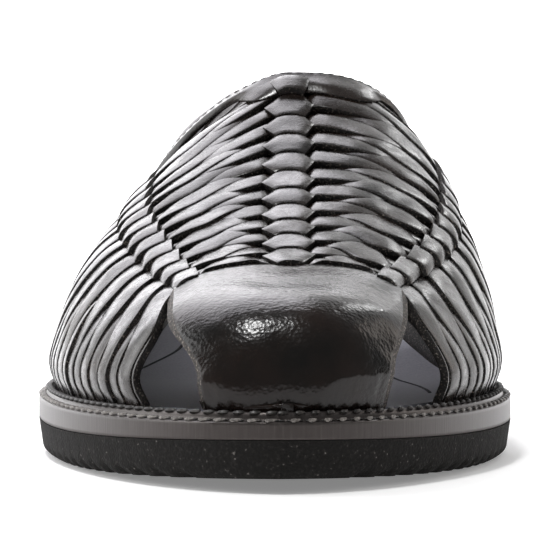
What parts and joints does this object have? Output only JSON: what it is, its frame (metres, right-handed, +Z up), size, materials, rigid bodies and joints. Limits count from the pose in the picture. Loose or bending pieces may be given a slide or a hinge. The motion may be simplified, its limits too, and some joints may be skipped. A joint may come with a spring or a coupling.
{
  "type": "woven leather loafer",
  "caption": "Woven black leather loafer for the right foot, with a smooth toe strap between two cut-outs, stitched welt, grey insole and rippled rubber sole.",
  "frame": {"origin": "on the floor, under the middle of the shoe's bounding box", "axes": "+Z up, +Y from the toe to the heel, +X towards the inner side of the foot"},
  "size_m": [0.112, 0.298, 0.0906],
  "materials": {
    "sole_rubber": "matt, fine closed pores",
    "welt_leather": "sanded and stained edge, satin",
    "sock_lining": "matt, fine nap",
    "upper_leather": "polished, glossy"
  },
  "bodies": {
    "root": {"outsole": "sole_rubber", "heel": "sole_rubber", "midsole": "welt_leather", "welt": "welt_leather", "insole": "sock_lining", "upper": "upper_leather", "toe_strap": "upper_leather", "collar": "upper_leather", "counter": "upper_leather"}
  },
  "joints": []
}
